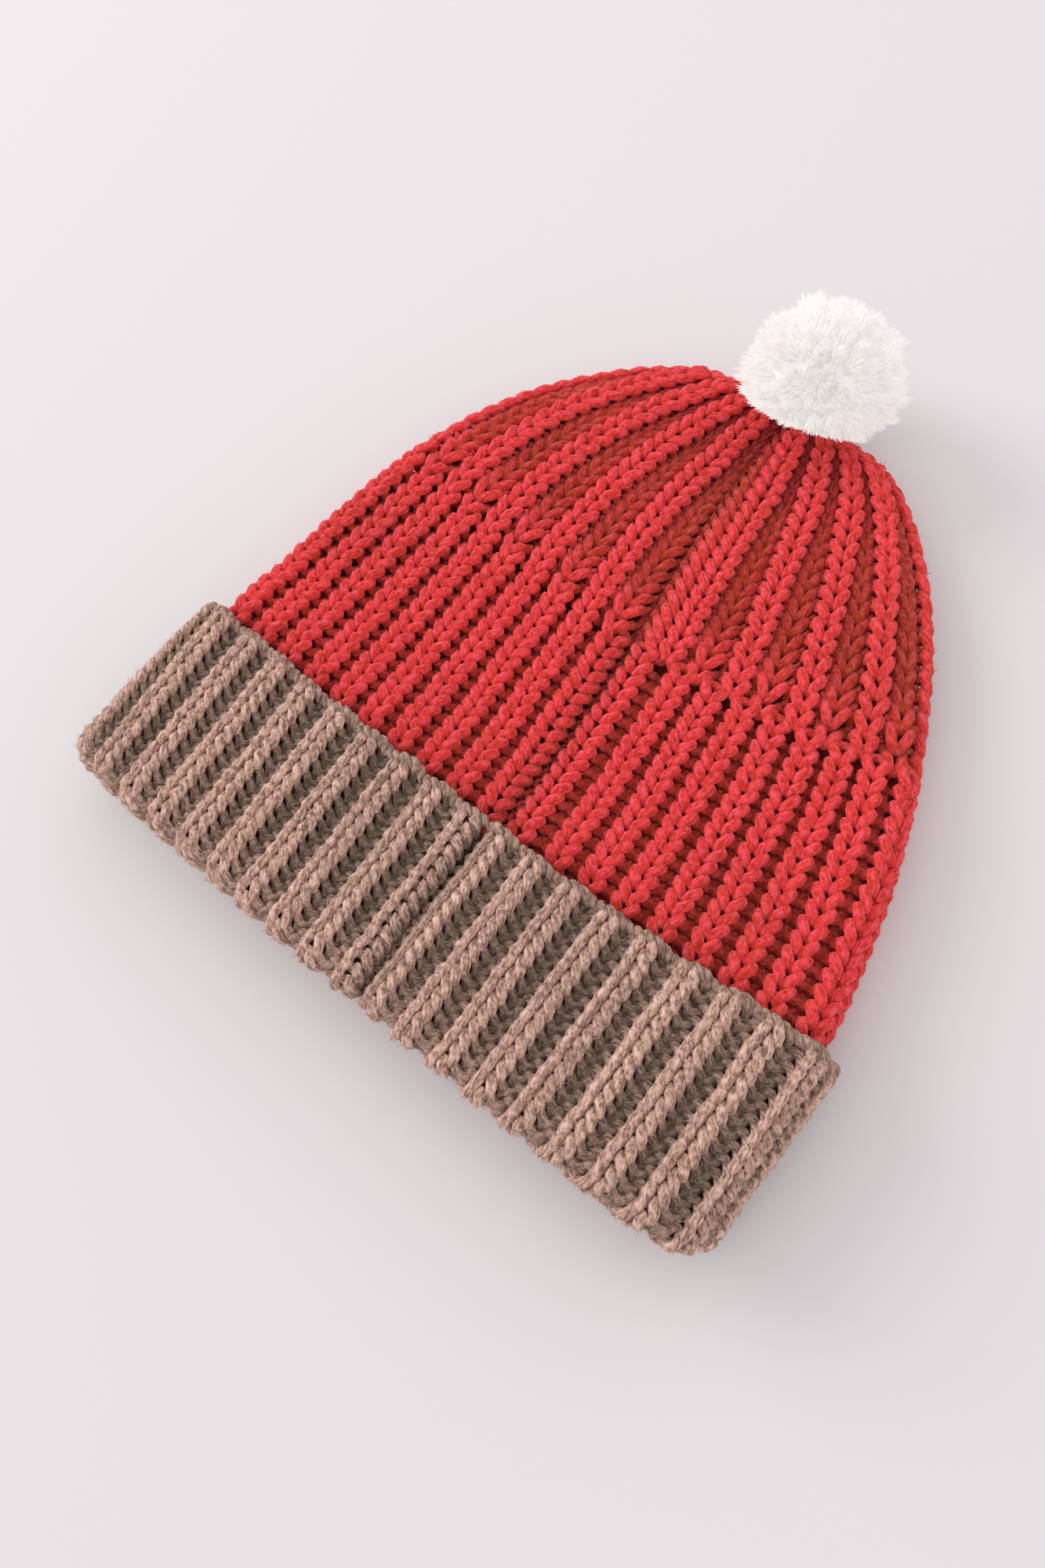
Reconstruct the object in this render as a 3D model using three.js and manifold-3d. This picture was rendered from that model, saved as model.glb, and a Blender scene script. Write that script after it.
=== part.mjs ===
// Pom pom beanie, empty and lying flat on its front, centre-back seam up.
// Millimetres, +Z up, +Y from the mouth to the pom, +X across the hat.
// The origin is under the middle of the hat, on the surface that it lies on.
//
// The hat is one knitted panel joined by a seam into a tube. The tube is folded up at the mouth
// into a cuff and drawn together at the crown, where a yarn pom is tied on.
import * as THREE from "three";
import { mergeVertices } from "three/addons/utils/BufferGeometryUtils.js";
import Module from "manifold-3d";

const wasm = await Module();
wasm.setup();

// ---------- driving dimensions ----------
const CUFF_WIDTH = 221; // across the folded cuff, lying flat
const CUFF_LENGTH = 60; // from the fold to the cast-on edge
const HAT_LENGTH = 218; // from the fold to the gathered tip
const FABRIC = 5.2; // thickness of the ribbed fabric
const GAP = 0.3; // clearance between touching pieces
const HEAD_GAP = 8.6; // free height between the two inner faces
const COLOUR_CHANGE = 48; // taupe yarn ends here, hidden by the cuff
const DECREASE_ROW = 133; // stations where every second rib ends
const SETTLE_LENGTH = 28; // the crown comes down off the cuff over this length
const CROWN_LEAN = -12.5; // how far the tip leans to the left
const TAPER_LENGTH = 226; // the crown narrows as if it ran on to a point here
const TIP_ROUND = 4.5; // and is rounded off over this last stretch
const CROWN_DOME = 2; // how far the upper layer bulges in its middle
const TIP_HALF_HEIGHT = 8; // the tip is thinner than the crown
const TIP_LENGTH = 20; // the last, quickly narrowing stretch

const SEAM_SLIT = 2.4; // the panel's two edges stop this far apart
const SEAM_OFFSET = 6; // the seam lies this far to the right of the cuff's middle
const SEAM_YARN_RADIUS = 0.8;
const HOLE_RADIUS = 4.4; // what the gather yarn leaves open at the tip
const GATHER_RING_RADIUS = 3.3;
const GATHER_YARN_RADIUS = 0.8;

const CUFF_EDGE_RADIUS = 2.5; // the cast-on edge is a round bead
const TIE_RADIUS = 2.1; // two strands of tie yarn side by side
const NECK_RADIUS = 2.4;
const NECK_STATION = HAT_LENGTH + 3; // pivot of the pom, just outside the tip
const KNOT_RADIUS = 2.7;
const KNOT_STATION = HAT_LENGTH - 14;

const POM_RADIUS = 20; // the dense middle of the pom, inside its loose ends
const POM_ACROSS = 2.5; // pom centre to the right of the pivot
const POM_OUT = 12.5; // pom centre past the pivot
const POM_UP = 16.5; // pom centre above the pivot
const POM_SEAT_RADIUS = 19.7; // hollow round the pivot that lets the pom tilt clear of the tip
const CORE_LOOP_RADIUS = 6;
const CORE_YARN_RADIUS = 1.2;

// ---------- worked out from them ----------
const LAYER = FABRIC + GAP;
const CROWN_HALF_HEIGHT = HEAD_GAP / 2 + FABRIC;
const CUFF_HALF_HEIGHT = CROWN_HALF_HEIGHT + LAYER;
const CUFF_HALF_WIDTH = CUFF_WIDTH / 2;
const CROWN_HALF_WIDTH = CUFF_HALF_WIDTH - LAYER;
const FOLD_RADIUS = (LAYER + FABRIC) / 2;
const POM_END = NECK_STATION + POM_OUT + POM_RADIUS;

const smooth = THREE.MathUtils.smoothstep;
const lerp = THREE.MathUtils.lerp;

// Half width, half height, centre line and underside of the crown's outer face at a station.
function crownSection(station) {
  const along = Math.max(0, (station - CUFF_LENGTH) / (HAT_LENGTH - CUFF_LENGTH));
  const taper = Math.max(0, (station - CUFF_LENGTH) / (TAPER_LENGTH - CUFF_LENGTH));
  const ellipse = Math.sqrt(1 - taper * taper);
  const rounding = Math.max(0, 1 - (HAT_LENGTH - station) / TIP_ROUND);
  const rounded = Math.sqrt(Math.max(0, 1 - rounding * rounding));
  const tip = smooth(along, 0.55, 0.95);
  const close = smooth(along, 0.965, 1);
  const halfHeight = lerp(lerp(CROWN_HALF_HEIGHT, TIP_HALF_HEIGHT, tip), HOLE_RADIUS, close);
  const halfWidth = lerp(halfHeight, CROWN_HALF_WIDTH * ellipse, rounded);
  const lift = LAYER * (1 - smooth(station, CUFF_LENGTH, CUFF_LENGTH + SETTLE_LENGTH));
  const underside = lift + close * (TIP_HALF_HEIGHT - HOLE_RADIUS);
  return {
    halfWidth,
    halfHeight,
    centreX: CROWN_LEAN * Math.sin((along * Math.PI) / 2),
    centreZ: underside + halfHeight,
    dome: CROWN_DOME * smooth(along, 0, 0.2) * (1 - tip),
  };
}

// The cuff keeps one section all the way along.
function cuffSection() {
  return {
    halfWidth: CUFF_HALF_WIDTH,
    halfHeight: CUFF_HALF_HEIGHT,
    centreX: 0,
    centreZ: CUFF_HALF_HEIGHT,
    dome: 0,
  };
}

// ---------- flattened tubes ----------
const STRAIGHT_STEPS = 14; // along the upper and the under side
const ROUND_STEPS = 6; // round each side fold
const LOOP_STEPS = 2 * (STRAIGHT_STEPS + ROUND_STEPS);

// A point of the flattened loop, counted in steps from the middle of the upper side.
function loopPoint(section, inset, step) {
  const { halfWidth, halfHeight, centreX, centreZ, dome } = section;
  const flat = halfWidth - halfHeight;
  const radius = halfHeight - inset;
  const half = STRAIGHT_STEPS / 2;
  const side = step <= LOOP_STEPS / 2 ? 1 : -1;
  const count = side > 0 ? step : LOOP_STEPS - step;
  let x;
  let z;
  if (count <= half) {
    x = (flat * count) / half;
    z = radius;
  } else if (count < half + ROUND_STEPS) {
    const angle = Math.PI / 2 - (Math.PI * (count - half)) / ROUND_STEPS;
    x = flat + radius * Math.cos(angle);
    z = radius * Math.sin(angle);
  } else {
    x = (flat * (LOOP_STEPS / 2 - count)) / half;
    z = -radius;
  }
  const share = x / halfWidth;
  const bulge = (dome * (1 - share * share) * Math.max(0, z)) / halfHeight;
  return new THREE.Vector3(centreX + side * x, 0, centreZ + z + bulge);
}

// A closed profile of (inset from the outer face, station) points, run round the flattened loop.
// A third value takes the loop's shape from another station.
function flattenedTube(profile, sectionAt) {
  const closed = [...profile, profile[0]];
  const turned = new THREE.LatheGeometry(
    closed.map(([inset, station]) => new THREE.Vector2(HAT_LENGTH - inset, station)),
    LOOP_STEPS,
  );
  const position = turned.getAttribute("position");
  for (let i = 0; i < position.count; i++) {
    const step = Math.floor(i / closed.length) % LOOP_STEPS;
    const [inset, station, shapeStation = station] = closed[i % closed.length];
    const at = loopPoint(sectionAt(shapeStation), inset, step);
    position.setXYZ(i, at.x, station, at.z);
  }
  return turned;
}

// ---------- solids ----------
function solid(geometry) {
  const bare = geometry.clone();
  bare.deleteAttribute("normal");
  bare.deleteAttribute("uv");
  const merged = mergeVertices(bare, 1e-4);
  return new wasm.Manifold(
    new wasm.Mesh({
      numProp: 3,
      vertProperties: new Float32Array(merged.attributes.position.array),
      triVerts: new Uint32Array(merged.index.array),
    }),
  );
}

function geometryOf(shape) {
  const { numProp, vertProperties, triVerts } = shape.getMesh();
  const count = vertProperties.length / numProp;
  const points = new Float32Array(count * 3);
  for (let i = 0; i < count; i++) {
    points.set(vertProperties.subarray(i * numProp, i * numProp + 3), i * 3);
  }
  const geometry = new THREE.BufferGeometry();
  geometry.setAttribute("position", new THREE.BufferAttribute(points, 3));
  geometry.setIndex(new THREE.BufferAttribute(new Uint32Array(triVerts), 1));
  geometry.computeVertexNormals();
  return geometry;
}

// A round yarn along a smooth path.
function yarn(points, radius, steps, sides = 6) {
  const section = new THREE.Shape();
  for (let i = 0; i < sides; i++) {
    const angle = (2 * Math.PI * i) / sides;
    const at = [radius * Math.cos(angle), radius * Math.sin(angle)];
    if (i === 0) section.moveTo(...at);
    else section.lineTo(...at);
  }
  section.closePath();
  const extrudePath = new THREE.CatmullRomCurve3(points);
  return new THREE.ExtrudeGeometry(section, { steps, extrudePath, bevelEnabled: false });
}

// The slit between the panel's two side edges, cut through the upper layers only.
function seamSlit(from, to) {
  const length = to - from;
  const slab = new THREE.BoxGeometry(SEAM_SLIT, length, CUFF_WIDTH);
  const middle = (from + to) / 2;
  const position = slab.getAttribute("position");
  for (let i = 0; i < position.count; i++) {
    const station = middle + position.getY(i);
    const { centreZ } = sectionAcross(station);
    position.setX(i, position.getX(i) + seamX(station));
    position.setY(i, station);
    position.setZ(i, position.getZ(i) > 0 ? 3 * CUFF_HALF_HEIGHT : centreZ);
  }
  return solid(slab);
}

function sectionAcross(station) {
  return station < CUFF_LENGTH ? cuffSection() : crownSection(station);
}

// The seam starts beside the hat's middle and comes to it at the tip.
function seamX(station) {
  const offset = SEAM_OFFSET * (1 - smooth(station, 110, 210));
  return sectionAcross(station).centreX + offset;
}

function slitAlong(shape, from, to, pieces) {
  let cut = shape;
  for (let i = 0; i < pieces; i++) {
    const start = lerp(from, to, i / pieces);
    const end = lerp(from, to, (i + 1) / pieces);
    cut = cut.subtract(seamSlit(start, end));
  }
  return cut;
}

// ---------- the knitted panel ----------
function stations(from, to, count) {
  return Array.from({ length: count + 1 }, (_, i) => lerp(from, to, i / count));
}

function sleeveProfile(from, to, count) {
  const rising = stations(from, to, count);
  const outer = rising.map((station) => [0, station]);
  const inner = rising.reverse().map((station) => [FABRIC, station]);
  return [...outer, ...inner];
}

function crownRibbedSection() {
  const tube = flattenedTube(sleeveProfile(COLOUR_CHANGE, DECREASE_ROW, 10), crownSection);
  return geometryOf(slitAlong(solid(tube), COLOUR_CHANGE - 1, DECREASE_ROW + 1, 6));
}

function crownShapedSection() {
  const from = DECREASE_ROW + GAP;
  const straight = stations(from, HAT_LENGTH - TIP_LENGTH, 7);
  const round = stations(0.2, 1, 7).map(
    (share) => HAT_LENGTH - TIP_LENGTH * (1 - Math.sin((share * Math.PI) / 2)),
  );
  const outer = [...straight, ...round].map((station) => [0, station]);
  const hole = [[0, HAT_LENGTH - FABRIC, HAT_LENGTH]];
  const inner = stations(from, HAT_LENGTH - 2 * FABRIC, 9)
    .reverse()
    .map((station) => [Math.min(FABRIC, crownSection(station).halfHeight - HOLE_RADIUS), station]);
  const tube = flattenedTube([...outer, ...hole, ...inner], crownSection);
  return solid(tube);
}

function brimInnerLayer() {
  const from = FOLD_RADIUS + GAP;
  const tube = flattenedTube(sleeveProfile(from, COLOUR_CHANGE - GAP, 3), crownSection);
  return geometryOf(slitAlong(solid(tube), 0, COLOUR_CHANGE, 1));
}

// The turned-up layer with the fold itself, which curls in to meet the inner layer.
function turnedUpCuff() {
  const edge = CUFF_LENGTH - 2 * CUFF_EDGE_RADIUS;
  const outer = stations(edge, FOLD_RADIUS, 3).map((station) => [0, station]);
  const fold = stations(0, Math.PI, 6)
    .slice(1, -1)
    .map((turn) => [FOLD_RADIUS * (1 - Math.cos(turn)), FOLD_RADIUS * (1 - Math.sin(turn))]);
  const lip = [
    [2 * FOLD_RADIUS, FOLD_RADIUS],
    [LAYER, FOLD_RADIUS],
    [FABRIC, FOLD_RADIUS],
  ];
  const back = stations(FOLD_RADIUS, edge, 3)
    .slice(1)
    .map((station) => [FABRIC, station]);
  const tube = flattenedTube([...outer, ...fold, ...lip, ...back].reverse(), cuffSection);
  return geometryOf(slitAlong(solid(tube), -1, CUFF_LENGTH, 1));
}

function castOnEdge() {
  const centre = CUFF_LENGTH - CUFF_EDGE_RADIUS + GAP;
  const ring = stations(0, 2 * Math.PI, 8)
    .slice(0, -1)
    .map((turn) => [
      FABRIC / 2 - CUFF_EDGE_RADIUS * Math.cos(turn),
      centre + CUFF_EDGE_RADIUS * Math.sin(turn),
    ]);
  return flattenedTube(ring, cuffSection);
}

// ---------- seam yarns ----------
function seamPath(station, inset) {
  const section = sectionAcross(station);
  const at = loopPoint(section, inset, 0);
  return new THREE.Vector3(seamX(station), station, at.z);
}

function brimSeamYarn() {
  const outside = stations(CUFF_LENGTH - 7, FOLD_RADIUS + 3, 5);
  const inside = stations(FOLD_RADIUS + 3, COLOUR_CHANGE - 2, 5);
  const path = [
    ...outside.map((station) => seamPath(station, FABRIC / 2)),
    seamPath(FABRIC / 2, FOLD_RADIUS),
    ...inside.map((station) => seamPath(station, LAYER + FABRIC / 2)),
  ];
  return yarn(path, SEAM_YARN_RADIUS, 44);
}

function crownSeamYarn() {
  const path = stations(COLOUR_CHANGE + 2, HAT_LENGTH - TIP_LENGTH - 2, 16).map((station) => {
    const at = loopPoint(crownSection(station), FABRIC / 2, 0);
    return new THREE.Vector3(seamX(station), station, at.z);
  });
  return yarn(path, SEAM_YARN_RADIUS, 48);
}

// ---------- pom and its tie ----------
const tip = crownSection(HAT_LENGTH);
const pivot = new THREE.Vector3(tip.centreX, NECK_STATION, tip.centreZ);
const pomCentre = pivot.clone().add(new THREE.Vector3(POM_ACROSS, POM_OUT, POM_UP));

function alongY(radius, from, to, sides = 16) {
  const rod = new THREE.CylinderGeometry(radius, radius, to - from, sides);
  return rod.translate(pivot.x, (from + to) / 2, pivot.z);
}

function gatherYarn() {
  const ring = new THREE.TorusGeometry(GATHER_RING_RADIUS, GATHER_YARN_RADIUS, 6, 20);
  return ring.rotateX(Math.PI / 2).translate(pivot.x, HAT_LENGTH - FABRIC / 2, pivot.z);
}

function tieShank() {
  return alongY(TIE_RADIUS, KNOT_STATION + KNOT_RADIUS + GAP, NECK_STATION - NECK_RADIUS - GAP);
}

function anchorKnot() {
  const knot = new THREE.SphereGeometry(KNOT_RADIUS, 12, 8);
  return knot.scale(1.5, 1, 0.9).translate(pivot.x, KNOT_STATION, pivot.z);
}

function tieNeck() {
  return new THREE.SphereGeometry(NECK_RADIUS, 14, 10).translate(...pivot);
}

// The loop round the middle of the pom, with its two strands running back towards the neck.
function coreTie(grow) {
  const toPom = pomCentre.clone().sub(pivot);
  const reach = toPom.length();
  const start = NECK_RADIUS + GAP - grow;
  const end = reach - CORE_LOOP_RADIUS;
  const strands = new THREE.CylinderGeometry(TIE_RADIUS + grow, TIE_RADIUS + grow, end - start, 12);
  strands.translate(0, (start + end) / 2, 0);
  const loop = new THREE.TorusGeometry(CORE_LOOP_RADIUS, CORE_YARN_RADIUS + grow, 8, 24);
  loop.translate(0, reach, 0);
  const up = new THREE.Vector3(0, 1, 0);
  const turn = new THREE.Quaternion().setFromUnitVectors(up, toPom.normalize());
  const place = (geometry) => geometry.applyQuaternion(turn).translate(...pivot);
  return solid(place(loop)).add(solid(place(strands)));
}

function pomYarn() {
  const ball = new THREE.SphereGeometry(POM_RADIUS, 28, 18);
  const seat = new THREE.SphereGeometry(POM_SEAT_RADIUS, 20, 14);
  ball.translate(...pomCentre);
  seat.translate(...pivot);
  return solid(ball).subtract(solid(seat)).subtract(coreTie(GAP));
}

// ---------- the hat ----------
const taupeYarn = new THREE.MeshStandardMaterial({ color: 0xa8836f, roughness: 0.95, metalness: 0 });
const redYarn = new THREE.MeshStandardMaterial({ color: 0xd8283a, roughness: 0.95, metalness: 0 });
const creamYarn = new THREE.MeshStandardMaterial({ color: 0xf3f0ea, roughness: 0.95, metalness: 0 });

const hat = new THREE.Group();
hat.name = "pom_pom_beanie";
hat.position.y = -POM_END / 2;

function addPiece(parent, name, geometry, material) {
  const mesh = new THREE.Mesh(geometry, material.clone());
  mesh.name = name;
  parent.add(mesh);
}

const fabric = new THREE.Group();
const crownTop = slitAlong(crownShapedSection(), DECREASE_ROW - 1, HAT_LENGTH - TIP_LENGTH, 6);
addPiece(fabric, "turned_up_cuff", turnedUpCuff(), taupeYarn);
addPiece(fabric, "cast_on_edge", castOnEdge(), taupeYarn);
addPiece(fabric, "brim_inner_layer", brimInnerLayer(), taupeYarn);
addPiece(fabric, "crown_ribbed_section", crownRibbedSection(), redYarn);
addPiece(fabric, "crown_shaped_section", geometryOf(crownTop), redYarn);
addPiece(fabric, "brim_seam_yarn", brimSeamYarn(), taupeYarn);
addPiece(fabric, "crown_seam_yarn", crownSeamYarn(), redYarn);
addPiece(fabric, "gather_yarn", gatherYarn(), redYarn);

const pom = new THREE.Group();
addPiece(pom, "tie_shank", tieShank(), creamYarn);
addPiece(pom, "anchor_knot", anchorKnot(), creamYarn);
addPiece(pom, "tie_neck", tieNeck(), creamYarn);
addPiece(pom, "pom_core_tie", geometryOf(coreTie(0)), creamYarn);
addPiece(pom, "pom_yarn", geometryOf(pomYarn()), creamYarn);

hat.add(fabric, pom);
hat.updateMatrixWorld(true);

export default hat;
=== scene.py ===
"""Looks for the pom pom beanie: real yarn, loop by loop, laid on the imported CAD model."""

import math
from collections import namedtuple

import bpy
import numpy as np
from mathutils import Matrix, Vector


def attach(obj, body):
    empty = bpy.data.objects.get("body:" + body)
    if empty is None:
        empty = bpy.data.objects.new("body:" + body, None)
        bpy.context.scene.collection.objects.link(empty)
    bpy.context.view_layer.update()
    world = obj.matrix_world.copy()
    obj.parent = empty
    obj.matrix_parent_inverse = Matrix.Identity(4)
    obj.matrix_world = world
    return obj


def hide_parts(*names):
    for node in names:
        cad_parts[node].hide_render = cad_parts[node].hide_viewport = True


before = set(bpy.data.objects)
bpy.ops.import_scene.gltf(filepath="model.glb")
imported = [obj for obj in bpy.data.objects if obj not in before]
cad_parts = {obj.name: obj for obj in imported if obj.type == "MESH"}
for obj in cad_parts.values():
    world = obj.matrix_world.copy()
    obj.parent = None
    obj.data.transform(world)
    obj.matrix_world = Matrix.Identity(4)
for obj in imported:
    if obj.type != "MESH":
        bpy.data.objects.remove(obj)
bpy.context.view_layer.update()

# Sizes in millimetres. A station is the distance from the folded edge of the cuff, along Y.
MM = 0.001
POM_END = 253.5
STATION_AT_ORIGIN = POM_END / 2
CUFF_LENGTH = 60
HAT_LENGTH = 218
COLOUR_CHANGE = 48
OVERLAP = 4  # taupe rows seen through the cuff's top row carry on this far
FABRIC = 5.2
LAYER = 5.5
CUFF_HALF_WIDTH = 110.5
CUFF_HALF_HEIGHT = 15
CROWN_HALF_WIDTH = 105
CROWN_HALF_HEIGHT = 9.5
TIP_HALF_HEIGHT = 8
HOLE_RADIUS = 4.4
FOLD_RADIUS = LAYER / 2 + FABRIC / 2
SETTLE_LENGTH = 28
TAPER_LENGTH = 226
TIP_ROUND = 4.5
CROWN_LEAN = -12.5
SEAM_OFFSET = 6
CROWN_DOME = 2
QUARTER = 0.25  # share of the way round from the seam to a side of the flattened hat
SEAM_STRAIGHTENS = (110, 210)  # stations between which the seam comes back to the middle
TIP_SHARES = (0.55, 0.95)  # shares of the crown's length over which it gets as high as its tip
CLOSING_SHARE = 0.965  # share of the crown's length where it begins to close round the hole
DOME_SHARE = 0.2  # share of the crown's length over which its upper side gets domed
DECREASE_AT_SEAM = 124.3
DECREASE_RISE = 14.5  # how much further up the decrease row lies at the sides
CUFF_EDGE_AT_SEAM = 54.3
CUFF_EDGE_RISE = 4.7
FOLD_SAG = 2.2
RIGHT_CORNER = (6.5, 0.028)  # how far the fold's corner is rounded off, and the share of the way round
LEFT_CORNER = (2.5, 0.018)
CUFF_TWIST = 3.3
CUFF_TWIST_SWAY = 2.2
TINY = 1e-12


def lerp(a, b, t):
    return a + (b - a) * t


def smooth(value, low, high):
    """0 below low, 1 above high, and an S curve between."""
    t = np.clip((value - low) / (high - low), 0, 1)
    return t * t * (3 - 2 * t)


def bell(value, middle, spread):
    """1 at the middle, and down to nothing a few spreads away from it."""
    return np.exp(-(((value - middle) / spread) ** 2))


def unit(vectors):
    """The same directions with a length of 1."""
    return vectors / (np.linalg.norm(vectors, axis=-1, keepdims=True) + TINY)


def from_seam(fraction):
    """Share of the way round to the nearer side of the hat: 0 at the seam, 1 at a side and beyond."""
    away = np.abs((fraction + 0.5) % 1 - 0.5)
    return np.minimum(away / QUARTER, 1)


# ---------------------------------------------------------------- the shape of the lying hat


def seam_shift(station):
    """How far the seam lies to the right of the middle of the hat."""
    return SEAM_OFFSET * (1 - smooth(station, *SEAM_STRAIGHTENS))


def loop_point(fraction, half_width, half_height, inset, start):
    """Point of a flattened loop, two flats and two half circles, at a fraction of the way round."""
    flat = half_width - half_height
    radius = half_height - inset
    bend = math.pi * radius
    around = 4 * flat + 2 * bend
    s = (fraction * around + start) % around
    right = (s - flat) / radius
    left = (s - 3 * flat - bend) / radius
    where = [s < flat, s < flat + bend, s < 3 * flat + bend, s < 3 * flat + 2 * bend]
    x = np.select(
        where,
        [s, flat + radius * np.sin(right), 2 * flat + bend - s, -flat - radius * np.sin(left)],
        s - around,
    )
    z = np.select(
        where,
        [radius, radius * np.cos(right), -radius, -radius * np.cos(left)],
        radius,
    )
    return x, z


def crown_point(fraction, station, depth):
    """Point of the crown's fabric at a share of its thickness, from 0 outside to 1 inside."""
    along = np.clip((station - CUFF_LENGTH) / (HAT_LENGTH - CUFF_LENGTH), 0, 1)
    tip = smooth(along, *TIP_SHARES)
    close = smooth(along, CLOSING_SHARE, 1)
    half_height = lerp(lerp(CROWN_HALF_HEIGHT, TIP_HALF_HEIGHT, tip), HOLE_RADIUS, close)
    taper = np.clip((station - CUFF_LENGTH) / (TAPER_LENGTH - CUFF_LENGTH), 0, 1)
    rounding = np.clip(1 - (HAT_LENGTH - station) / TIP_ROUND, 0, 1)
    ellipse = CROWN_HALF_WIDTH * np.sqrt(1 - taper**2)
    half_width = lerp(half_height, ellipse, np.sqrt(1 - rounding**2))
    lift = LAYER * (1 - smooth(station, CUFF_LENGTH, CUFF_LENGTH + SETTLE_LENGTH))
    middle = lift + close * (TIP_HALF_HEIGHT - HOLE_RADIUS) + half_height
    dome = CROWN_DOME * smooth(along, 0, DOME_SHARE) * (1 - tip)
    inset = np.minimum(FABRIC, half_height - HOLE_RADIUS) * depth
    x, z = loop_point(fraction, half_width, half_height, inset, seam_shift(station))
    bulge = dome * (1 - (x / half_width) ** 2) * np.maximum(z, 0) / half_height
    lean = CROWN_LEAN * np.sin(along * math.pi / 2)
    return np.stack(np.broadcast_arrays(lean + x, station, middle + z + bulge), -1)


def cuff_point(fraction, station, inset):
    """Point of the turned-up brim, at a distance inside the outside of the cuff."""
    x, z = loop_point(fraction, CUFF_HALF_WIDTH, CUFF_HALF_HEIGHT, inset, seam_shift(0))
    return np.stack(np.broadcast_arrays(x, station, CUFF_HALF_HEIGHT + z), -1)


def decrease_station(fraction):
    """Where the decrease row lies: it sags at the seam and rises to the sides."""
    return DECREASE_AT_SEAM + DECREASE_RISE * from_seam(fraction) ** 2


def cuff_edge_station(fraction):
    """Where the cast-on edge lies, which sags a little over the seam."""
    return CUFF_EDGE_AT_SEAM + CUFF_EDGE_RISE * from_seam(fraction) ** 2


def fold_sag(fraction):
    """How far the fold hangs past its straight line, most at the seam."""
    return FOLD_SAG * (1 - from_seam(fraction) ** 2)


def corner_lift(fraction):
    """How far the fold's two corners are rounded off, the right one more."""
    right, right_spread = RIGHT_CORNER
    left, left_spread = LEFT_CORNER
    lifted = right * bell(fraction, QUARTER, right_spread)
    return lifted + left * bell(fraction, 3 * QUARTER, left_spread)


def cuff_twist(fraction, station):
    """How far the cuff's ribs lie to the right of straight: most at the left side and the fold."""
    amount = CUFF_TWIST - CUFF_TWIST_SWAY * np.sin(2 * math.pi * fraction)
    return amount * (0.5 - station / CUFF_LENGTH)


# ---------------------------------------------------------------- fabric as a grid of rows and columns

SEAM_GAP = 0.7
FULL_ROUND = 400  # the seam's gap narrows where the fabric is less than this far round


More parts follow.
